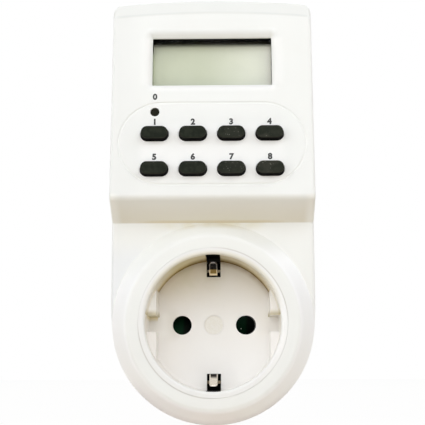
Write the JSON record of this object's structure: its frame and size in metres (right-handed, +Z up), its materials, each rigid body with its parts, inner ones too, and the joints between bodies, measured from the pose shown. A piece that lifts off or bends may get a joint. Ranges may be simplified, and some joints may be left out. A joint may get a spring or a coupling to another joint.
{
  "type": "plug-in timer",
  "caption": "Plug-in weekly timer with a tilted head, blank display, rubber keys, round earthed socket and rear plug.",
  "frame": {"origin": "on the axis of the socket and the plug, in the plane where the case meets the wall outlet", "axes": "+Z up the front, +Y into the wall along the plug, X across the case"},
  "size_m": [0.0596, 0.0819, 0.1258],
  "materials": {
    "case_plastic": "satin moulded",
    "socket_plastic": "satin moulded",
    "shutter_plastic": "moulded",
    "carrier_plastic": "moulded",
    "pin_metal": "nickel plated",
    "contact_metal": "stamped",
    "earth_metal": "nickel plated, stamped",
    "spring_steel": "drawn wire",
    "key_rubber": "matt moulded",
    "mat_rubber": "moulded",
    "frame_plastic": "moulded",
    "lens_plastic": "clear moulded",
    "display_glass": "reflective display",
    "board_laminate": "solder mask",
    "relay_plastic": "moulded",
    "film_plastic": "moulded",
    "can_sleeve": "shrunk sleeve",
    "disc_coating": "dipped",
    "diode_body": "moulded",
    "resistor_body": "lacquered",
    "cell_steel": "drawn",
    "screw_steel": "zinc plated",
    "ribbon_plastic": "extruded",
    "header_plastic": "moulded",
    "chip_resin": "poured",
    "strip_rubber": "moulded"
  },
  "bodies": {
    "case": {"front_cover": "case_plastic", "rear_cover": "case_plastic", "socket_insert": "socket_plastic", "shutter_pivot": "socket_plastic", "shutter_spring": "spring_steel", "contact_carrier": "carrier_plastic", "contact_neutral": "contact_metal", "contact_line": "contact_metal", "plug_pin_neutral": "pin_metal", "plug_pin_line": "pin_metal", "neutral_busbar": "contact_metal", "line_busbar": "contact_metal", "earth_clip_top": "earth_metal", "earth_clip_bottom": "earth_metal", "earth_bridge": "earth_metal", "display_frame": "frame_plastic", "display_lens": "lens_plastic", "display_glass": "display_glass", "contact_strip": "strip_rubber", "keypad_mat": "mat_rubber", "display_board": "board_laminate", "power_board": "board_laminate", "relay": "relay_plastic", "mains_capacitor": "film_plastic", "smoothing_capacitor": "can_sleeve", "surge_disc": "disc_coating", "diodes": "diode_body", "resistors": "resistor_body", "backup_cell": "cell_steel", "cell_clip": "spring_steel", "board_ribbon": "ribbon_plastic", "ribbon_headers": "header_plastic", "clock_chip": "chip_resin", "quartz_crystal": "cell_steel", "cover_screws": "screw_steel", "board_screws": "screw_steel"},
    "key_1": {"key_1": "key_rubber"},
    "key_2": {"key_2": "key_rubber"},
    "key_3": {"key_3": "key_rubber"},
    "key_4": {"key_4": "key_rubber"},
    "key_5": {"key_5": "key_rubber"},
    "key_6": {"key_6": "key_rubber"},
    "key_7": {"key_7": "key_rubber"},
    "key_8": {"key_8": "key_rubber"},
    "reset_key": {"reset_key": "key_rubber"},
    "shutter": {"shutter": "shutter_plastic"}
  },
  "joints": [
    {"name": "key_1_press", "type": "slide", "parent": "case", "child": "key_1", "axis": [0, 0.9951, -0.0985], "range_m": [0, 0.0008], "stiffness_N_per_m": 800},
    {"name": "key_2_press", "type": "slide", "parent": "case", "child": "key_2", "axis": [0, 0.9951, -0.0985], "range_m": [0, 0.0008], "stiffness_N_per_m": 800},
    {"name": "key_3_press", "type": "slide", "parent": "case", "child": "key_3", "axis": [0, 0.9951, -0.0985], "range_m": [0, 0.0008], "stiffness_N_per_m": 800},
    {"name": "key_4_press", "type": "slide", "parent": "case", "child": "key_4", "axis": [0, 0.9951, -0.0985], "range_m": [0, 0.0008], "stiffness_N_per_m": 800},
    {"name": "key_5_press", "type": "slide", "parent": "case", "child": "key_5", "axis": [0, 0.9951, -0.0985], "range_m": [0, 0.0008], "stiffness_N_per_m": 800},
    {"name": "key_6_press", "type": "slide", "parent": "case", "child": "key_6", "axis": [0, 0.9951, -0.0985], "range_m": [0, 0.0008], "stiffness_N_per_m": 800},
    {"name": "key_7_press", "type": "slide", "parent": "case", "child": "key_7", "axis": [0, 0.9951, -0.0985], "range_m": [0, 0.0008], "stiffness_N_per_m": 800},
    {"name": "key_8_press", "type": "slide", "parent": "case", "child": "key_8", "axis": [0, 0.9951, -0.0985], "range_m": [0, 0.0008], "stiffness_N_per_m": 800},
    {"name": "reset_key_press", "type": "slide", "parent": "case", "child": "reset_key", "axis": [0, 0.9951, -0.0985], "range_m": [0, 0.0008], "stiffness_N_per_m": 800},
    {"name": "shutter_turn", "type": "hinge", "parent": "case", "child": "shutter", "pos_m": [0, -0.017, 0], "axis": [0, -1, 0], "range_deg": [0, 40], "stiffness_Nm_per_rad": 0.004}
  ]
}
